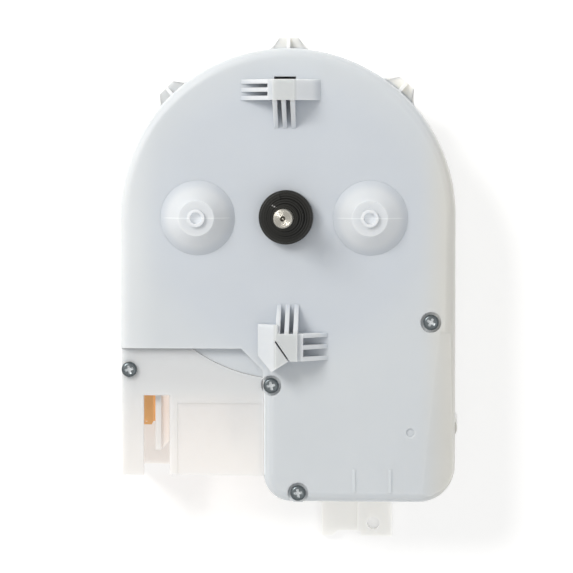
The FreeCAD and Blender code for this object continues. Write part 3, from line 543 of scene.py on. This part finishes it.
# Each rim tab spreads wider at its root than in the solid, by a wedge on either side. Each corner of
# a wedge is given by its distance from the shaft's axis and from the tab's middle.
tab_angles = (90.0, 133.8, 48.4)
tab_floor = 0.02003
tab_top = 0.02397
wedge = [(0.0564, 0.0020), (0.06117, 0.0020), (0.06117, 0.0032), (0.0564, 0.0075)]
corners, faces = [], []
for degrees in tab_angles:
    cosine, sine = math.cos(math.radians(degrees)), math.sin(math.radians(degrees))
    for hand in (-1, 1):
        outline = [(r * cosine - hand * side * sine, r * sine + hand * side * cosine)
                   for r, side in wedge][::hand]
        low = [len(corners) + index for index in range(4)]
        high = [index + 4 for index in low]
        corners += [(x, y, tab_floor) for x, y in outline] + [(x, y, tab_top) for x, y in outline]
        faces += [low[::-1], high]
        faces += [[low[index], low[(index + 1) % 4], high[(index + 1) % 4], high[index]] for index in range(4)]
wedge_mesh = bpy.data.meshes.new("tab_wedges")
wedge_mesh.from_pydata(corners, [], faces)
wedge_mesh.materials.append(cover_plastic)
tab_wedges = bpy.data.objects.new("tab_wedges", wedge_mesh)
scene.collection.objects.link(tab_wedges)
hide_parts("front_cover")
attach(tab_wedges, "housing")

# Dial hub
# Moulded in black plastic with three steps, and pushed on the disc's neck. Its rib keys the knob's
# skirt, and the tool that cut the mould left fine rings on its steps.
hub_ring_pitch = 0.0008
black_plastic = moulded_material("black_plastic", screen(23, 23, 19), gloss=0.14, cloud=0.2, scatter=0.0,
                                 bump=0.10)
tree = black_plastic.node_tree
hub_shader = tree.nodes["Principled BSDF"]
hub_shader.inputs["Specular IOR Level"].default_value = 0.55
x, y = axes(tree)[:2]
hub_rings = value_step(tree, "SINE", times(tree, distance(tree, y, x), math.tau / hub_ring_pitch))
relief = tree.nodes.new("ShaderNodeBump")
relief.inputs["Strength"].default_value = 0.3
relief.inputs["Distance"].default_value = 0.0001
tree.links.new(hub_rings, relief.inputs["Height"])
tree.links.new(hub_shader.inputs["Normal"].links[0].from_socket, relief.inputs["Normal"])
tree.links.new(relief.outputs["Normal"], hub_shader.inputs["Normal"])
finished("dial_hub", "program_disc", black_plastic, edge=0.0003)

# Shaft
# Turned steel rod with a chamfered, centre-drilled tip and a spring clip behind the disc. The
# tool marks ring its end, so it shines in a bow-tie.
dimple_r = 0.0010
dimple_point = 0.00022
tool_ring_turn = 22000.0
tip_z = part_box("shaft")[1][2]
turned_steel, shaft_shader = new_material("turned_steel", screen(186, 182, 172), 0.26, 1.0)
tree = turned_steel.node_tree
x, y, z = axes(tree)
radius = distance(tree, y, x)
relief = tree.nodes.new("ShaderNodeBump")
relief.inputs["Strength"].default_value = 0.6
relief.inputs["Distance"].default_value = 0.00008
tree.links.new(value_step(tree, "SINE", times(tree, radius, tool_ring_turn)), relief.inputs["Height"])
tree.links.new(relief.outputs["Normal"], shaft_shader.inputs["Normal"])
# Painted shade: the conical wall of the centre-drilled dimple is painted dark.
dimple_shade = times(tree, rise(tree, radius, dimple_point, 2 * dimple_point),
                fall(tree, radius, dimple_r - dimple_point, dimple_r))
tip = times(tree, dimple_shade, rise(tree, z, tip_z - 2 * dimple_r, tip_z - dimple_r))
tree.links.new(blend(tree, tip, screen(202, 198, 188), screen(74, 70, 62)), shaft_shader.inputs["Base Color"])
stain = noise(tree, place(tree), 1500.0, 2.0)
tree.links.new(value_step(tree, "MULTIPLY_ADD", stain, 0.16, 0.18), shaft_shader.inputs["Roughness"])
finished("shaft", "shaft", turned_steel, edge=0.0)
finished("shaft_clip", "shaft", ground_steel, edge=0.0)

# Case and motor screws
# Zinc plated self-tapping screws with pan heads and a cross recess: four join the halves of the
# case, and two smaller ones hold the motor plate.
screw_dull = screen(88, 97, 101)
# Painted reflection: the cross recess is painted bright, and the crown has a faint painted glint.
glint_bright = screen(246, 250, 252)
screw_metal, screw_shader = new_material("zinc_screws", screw_dull, 0.32, 0.7)
tree = screw_metal.node_tree
recess = tree.nodes.new("ShaderNodeAttribute")
recess.attribute_name = "recess"
mottle = rise(tree, noise(tree, place(tree), 900.0, 3.0), 0.40, 0.72, 0.6)
mottled = blend(tree, mottle, screw_dull, screen(58, 65, 69))
tree.links.new(blend(tree, recess.outputs["Fac"], mottled, glint_bright), screw_shader.inputs["Base Color"])
tree.links.new(value_step(tree, "MULTIPLY_ADD", mottle, 0.2, 0.26), screw_shader.inputs["Roughness"])
screw_sides = 40
crown_steps = 6
crown_flat = 0.55
thread_root = 0.8
crown_glint = 0.12


def screw_form(name, head_r, head_height, shank_r, length, thread):
    """Screw with its head's underside at the origin: turned profile, then a pressed cross."""
    form = bmesh.new()
    crown = head_height * 0.42
    profile = [(0.0, head_height)]
    for step in range(1, crown_steps + 1):
        swing = math.radians(90 * step / crown_steps)
        profile.append((head_r * (crown_flat + (1 - crown_flat) * math.sin(swing)),
                        head_height - crown * (1 - math.cos(swing))))
    profile += [(head_r, 0.0), (shank_r, 0.0)]
    turns = int((length - 2 * shank_r) / thread)
    for index in range(turns):
        top = -index * thread
        profile += [(shank_r * thread_root, top - thread * 0.3), (shank_r, top - thread * 0.5),
                    (shank_r * thread_root, top - thread * 0.7)]
    profile += [(shank_r * thread_root, -length + 1.5 * shank_r), (0.0, -length)]
    rows = []
    for r, z in profile:
        if r == 0.0:
            rows.append([form.verts.new((0, 0, z))])
        else:
            rows.append([form.verts.new((r * math.cos(math.tau * side / screw_sides),
                                         r * math.sin(math.tau * side / screw_sides), z))
                         for side in range(screw_sides)])
    for upper, lower in zip(rows, rows[1:]):
        for side in range(screw_sides):
            after = (side + 1) % screw_sides
            if len(upper) == 1:
                form.faces.new((upper[0], lower[side], lower[after]))
            elif len(lower) == 1:
                form.faces.new((upper[side], lower[0], upper[after]))
            else:
                form.faces.new((upper[side], lower[side], lower[after], upper[after]))
    bmesh.ops.recalc_face_normals(form, faces=form.faces)
    mesh = bpy.data.meshes.new(name)
    form.to_mesh(mesh)
    form.free()
    cutter = bmesh.new()
    arm, width, depth = head_r * 0.66, head_r * 0.20, head_height * 0.7
    outline = [(arm, -width), (arm, width), (width, width), (width, arm), (-width, arm), (-width, width),
               (-arm, width), (-arm, -width), (-width, -width), (-width, -arm), (width, -arm),
               (width, -width)]
    top = [cutter.verts.new((x, y, head_height * 1.3)) for x, y in outline]
    low = [cutter.verts.new((x * 0.72, y * 0.72, head_height - depth)) for x, y in outline]
    cutter.faces.new(top)
    cutter.faces.new(list(reversed(low)))
    for index in range(len(outline)):
        after = (index + 1) % len(outline)
        cutter.faces.new((top[after], top[index], low[index], low[after]))
    bmesh.ops.recalc_face_normals(cutter, faces=cutter.faces)
    cross_mesh = bpy.data.meshes.new(name + "_cross")
    cutter.to_mesh(cross_mesh)
    cutter.free()
    blank = bpy.data.objects.new(name, mesh)
    cross = bpy.data.objects.new(name + "_cross", cross_mesh)
    scene.collection.objects.link(blank)
    scene.collection.objects.link(cross)
    press = blank.modifiers.new("press", "BOOLEAN")
    press.operation = "DIFFERENCE"
    press.object = cross
    press.solver = "EXACT"
    pressed = bpy.data.meshes.new_from_object(blank.evaluated_get(bpy.context.evaluated_depsgraph_get()))
    pressed.name = name
    bpy.data.objects.remove(blank)
    bpy.data.objects.remove(cross)
    # Painted reflection and glint: full in the cross recess, faint on the crown.
    mark = pressed.attributes.new("recess", "FLOAT", "POINT")
    for vertex in pressed.vertices:
        out = math.hypot(vertex.co.x, vertex.co.y)
        crown_part = max(0.0, min(1.0, (0.95 - out / head_r) / 0.4))
        inside = out < arm and 0 < vertex.co.z < head_height - depth * 0.6
        mark.data[vertex.index].value = 1.0 if inside else crown_glint * crown_part
    pressed.shade_smooth()
    pressed.set_sharp_from_angle(angle=math.radians(40))
    return pressed


def screw_tree():
    """Geometry tree that sets a screw on every point, each turned its own way."""
    tree = bpy.data.node_groups.new("set_screws", "GeometryNodeTree")
    face = tree.interface
    face.new_socket("Seats", in_out="INPUT", socket_type="NodeSocketGeometry")
    names = {}
    for label, kind in (("Screw", "NodeSocketObject"), ("Turn Seed", "NodeSocketInt"),
                        ("Metal", "NodeSocketMaterial")):
        names[label] = face.new_socket(label, in_out="INPUT", socket_type=kind).identifier
    face.new_socket("Screws", in_out="OUTPUT", socket_type="NodeSocketGeometry")
    given = tree.nodes.new("NodeGroupInput")
    out = tree.nodes.new("NodeGroupOutput")
    pattern = tree.nodes.new("GeometryNodeObjectInfo")
    spread = tree.nodes.new("FunctionNodeRandomValue")
    spread.data_type = "FLOAT_VECTOR"
    spread.inputs[0].default_value = (0.0, 0.0, 0.0)
    spread.inputs[1].default_value = (0.0, 0.0, math.pi / 2)
    place = tree.nodes.new("GeometryNodeInstanceOnPoints")
    real = tree.nodes.new("GeometryNodeRealizeInstances")
    paint = tree.nodes.new("GeometryNodeSetMaterial")
    link = tree.links.new
    link(given.outputs["Screw"], pattern.inputs["Object"])
    link(given.outputs["Turn Seed"], spread.inputs["Seed"])
    link(given.outputs["Seats"], place.inputs["Points"])
    link(pattern.outputs["Geometry"], place.inputs["Instance"])
    link(spread.outputs["Value"], place.inputs["Rotation"])
    link(place.outputs["Instances"], real.inputs["Geometry"])
    link(real.outputs["Geometry"], paint.inputs["Geometry"])
    link(given.outputs["Metal"], paint.inputs["Material"])
    link(paint.outputs["Geometry"], out.inputs["Screws"])
    return tree, names


set_screws, socket_names = screw_tree()


def screws(node, form, seats, seed):
    pattern = bpy.data.objects.new(form.name + "_pattern", form)
    scene.collection.objects.link(pattern)
    points = bpy.data.meshes.new(node + "_seats")
    points.from_pydata(seats, [], [])
    piece = bpy.data.objects.new(node + "_finish", points)
    scene.collection.objects.link(piece)
    layer = piece.modifiers.new("set_screws", "NODES")
    layer.node_group = set_screws
    layer[socket_names["Screw"]] = pattern
    layer[socket_names["Turn Seed"]] = seed
    layer[socket_names["Metal"]] = screw_metal
    settled = bpy.data.meshes.new_from_object(piece.evaluated_get(bpy.context.evaluated_depsgraph_get()))
    piece.modifiers.clear()
    piece.data = settled
    bpy.data.objects.remove(pattern)
    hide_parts(node)
    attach(piece, "housing")


case_screw = screw_form("case_screw", head_r=0.0026, head_height=0.0019, shank_r=0.00145, length=0.0220,
                        thread=0.0011)
case_seats = [(-0.0540, -0.0523, 0.0355), (-0.0053, -0.0575, 0.0370), (0.0491, -0.0357, 0.0370),
              (0.0039, -0.0942, 0.0370)]
screws("cover_screws", case_screw, case_seats, 4)
motor_head_r = 0.0024
motor_head_height = 0.0013
motor_screw = screw_form("motor_screw", head_r=motor_head_r, head_height=motor_head_height, shank_r=0.0013,
                         length=0.0070, thread=0.0009)
motor_low, motor_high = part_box("motor_screws")
seat_height = motor_high[2] - motor_head_height
motor_seats = [(motor_low[0] + motor_head_r, motor_high[1] - motor_head_r, seat_height),
               (motor_high[0] - motor_head_r, motor_low[1] + motor_head_r, seat_height)]
screws("motor_screws", motor_screw, motor_seats, 2)
